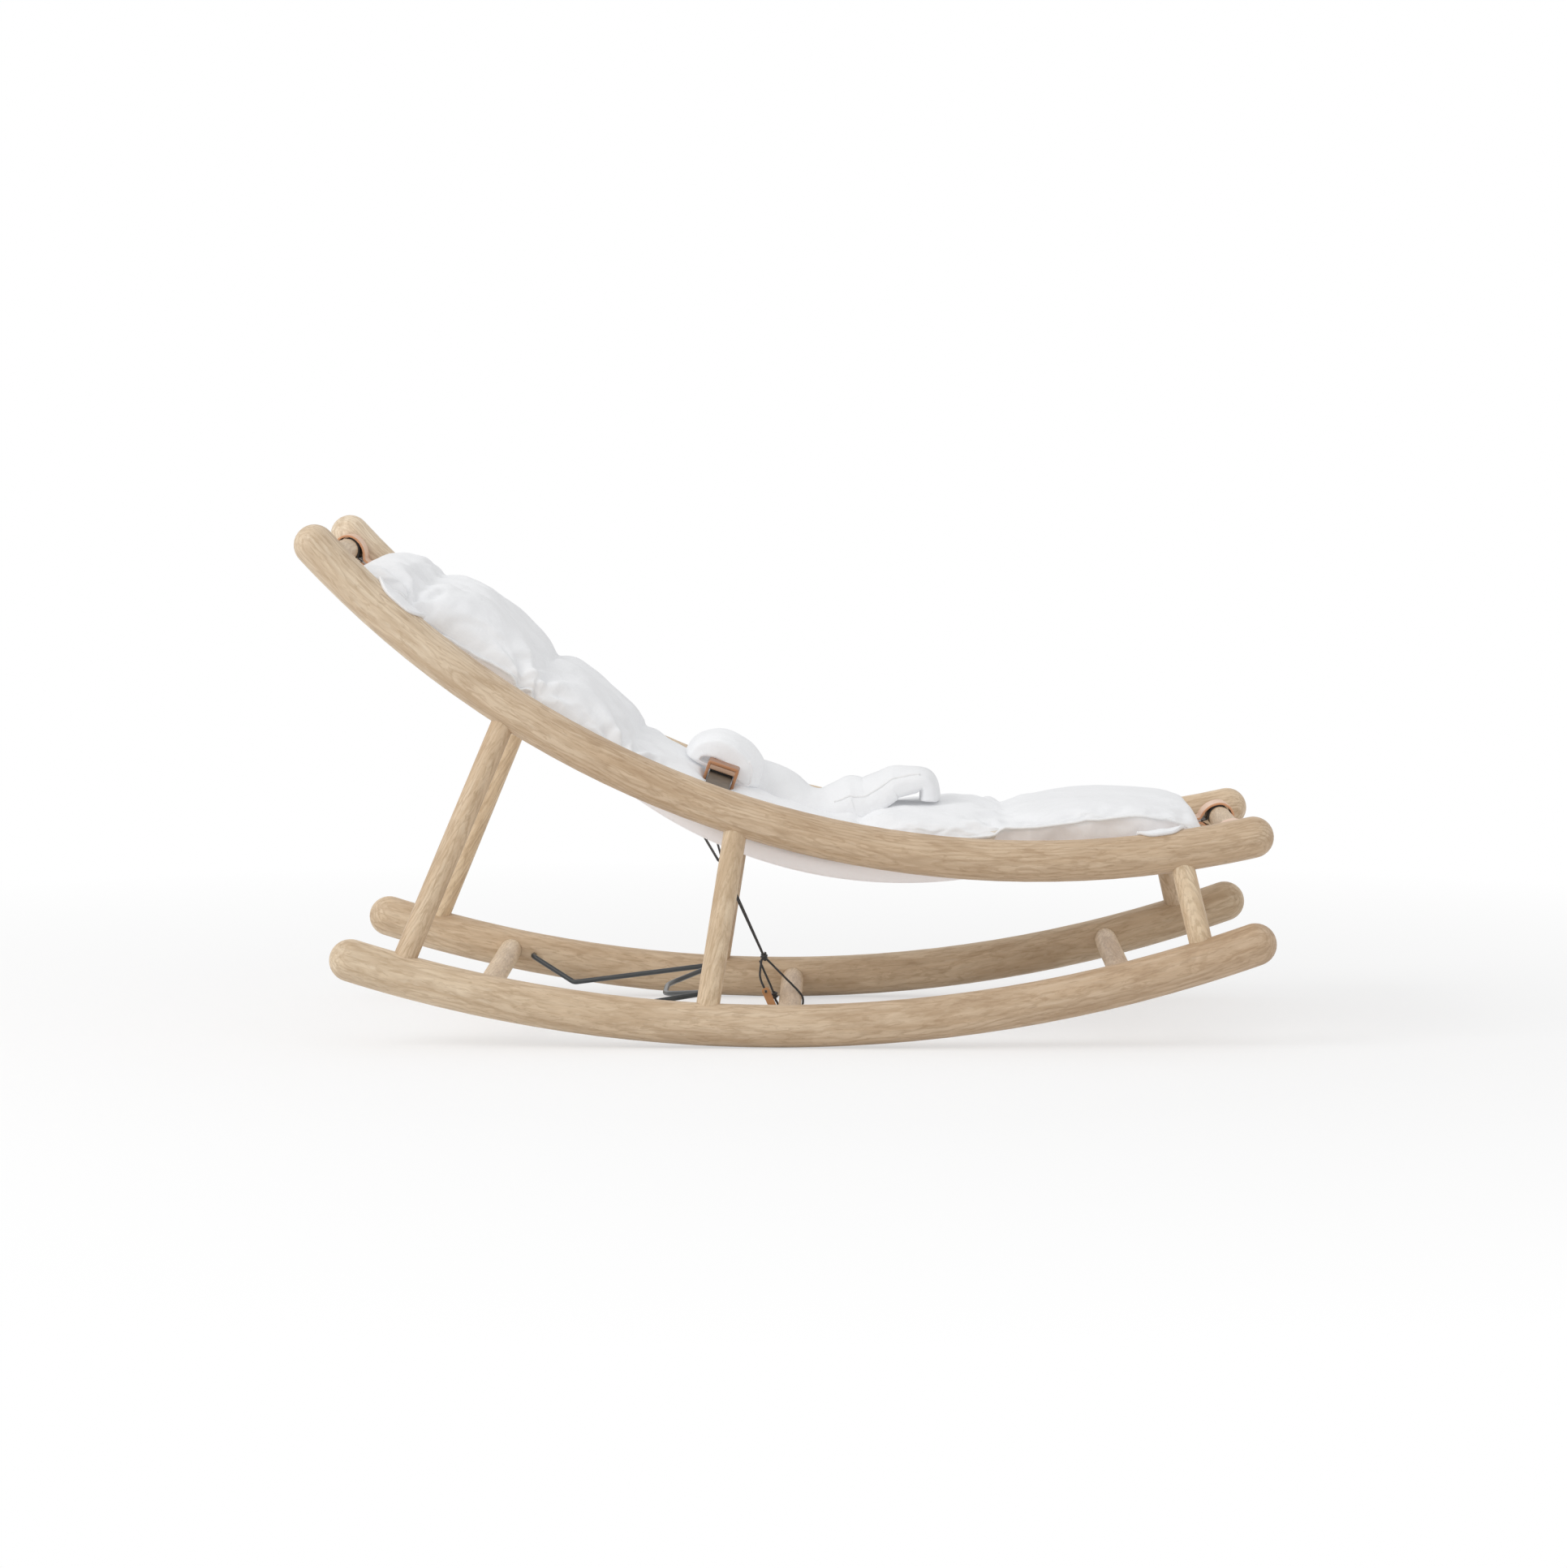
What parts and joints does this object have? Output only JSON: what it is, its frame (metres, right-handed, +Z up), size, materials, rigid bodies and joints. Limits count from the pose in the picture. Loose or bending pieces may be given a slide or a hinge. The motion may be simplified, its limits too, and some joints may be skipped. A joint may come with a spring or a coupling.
{
  "type": "child's rocking seat",
  "caption": "Low child's rocker of bent round poles with a cloth sling, quilted cushion, strap harness and a swing-down wire stand that stops the rocking.",
  "frame": {"origin": "on the floor under the middle of the outline, level as pictured", "axes": "+X from the head end to the foot end, +Y from the pictured side to the far side, +Z up"},
  "size_m": [0.92, 0.4308, 0.4884],
  "materials": {
    "oak_poles": "clear matt oil",
    "oak_dowels": "clear matt oil",
    "tan_leather": "vegetable tanned, smooth",
    "brown_leather": "smooth",
    "dark_leather": "smooth",
    "black_steel": "satin black",
    "coated_wire": "semi-gloss black coating",
    "black_cord": "braided",
    "sling_cloth": "plain weave",
    "label_cloth": "blank woven tape",
    "white_cotton": "soft plain weave"
  },
  "bodies": {
    "frame_and_seat": {"blank_label": "label_cloth", "cord_anchor": "black_cord", "cord_knot_lower": "black_cord", "cord_knot_upper": "black_cord", "cord_lashing": "black_cord", "cord_tail": "black_cord", "corner_tie_foot_left": "white_cotton", "corner_tie_foot_right": "white_cotton", "corner_tie_head_left": "white_cotton", "corner_tie_head_right": "white_cotton", "cross_dowel_front": "oak_dowels", "cross_dowel_middle": "oak_dowels", "cross_dowel_rear": "oak_dowels", "cushion": "white_cotton", "harness_belt_left": "dark_leather", "harness_belt_right": "dark_leather", "harness_keeper_left": "brown_leather", "harness_keeper_right": "brown_leather", "harness_strap": "white_cotton", "leather_loop_foot_left": "tan_leather", "leather_loop_foot_right": "tan_leather", "leather_loop_head_left": "tan_leather", "leather_loop_head_right": "tan_leather", "rail_left": "oak_poles", "rail_right": "oak_poles", "rocker_left": "oak_poles", "rocker_right": "oak_poles", "seat_cord": "black_cord", "sling": "sling_cloth", "steel_hook_foot_left": "black_steel", "steel_hook_foot_right": "black_steel", "steel_hook_head_left": "black_steel", "steel_hook_head_right": "black_steel", "top_dowel_foot": "oak_dowels", "top_dowel_head": "oak_dowels", "upright_front_left": "oak_dowels", "upright_front_right": "oak_dowels", "upright_middle_left": "oak_dowels", "upright_middle_right": "oak_dowels", "upright_rear_left": "oak_dowels", "upright_rear_right": "oak_dowels", "webbing_tab_foot_left": "white_cotton", "webbing_tab_foot_right": "white_cotton", "webbing_tab_head_left": "white_cotton", "webbing_tab_head_right": "white_cotton"},
    "wire_stand": {"wire_stand": "coated_wire"},
    "pull_tag": {"pull_tag": "tan_leather"}
  },
  "joints": [
    {"name": "stand_swing", "type": "hinge", "parent": "frame_and_seat", "child": "wire_stand", "pos_m": [-0.2585, 0, 0.0439], "axis": [0, 1, 0], "range_deg": [0, 127]},
    {"name": "tag_swing", "type": "hinge", "parent": "frame_and_seat", "child": "pull_tag", "pos_m": [-0.0205, -0.0135, 0.0305], "axis": [0, 1, 0], "range_deg": [-4, 60]}
  ]
}
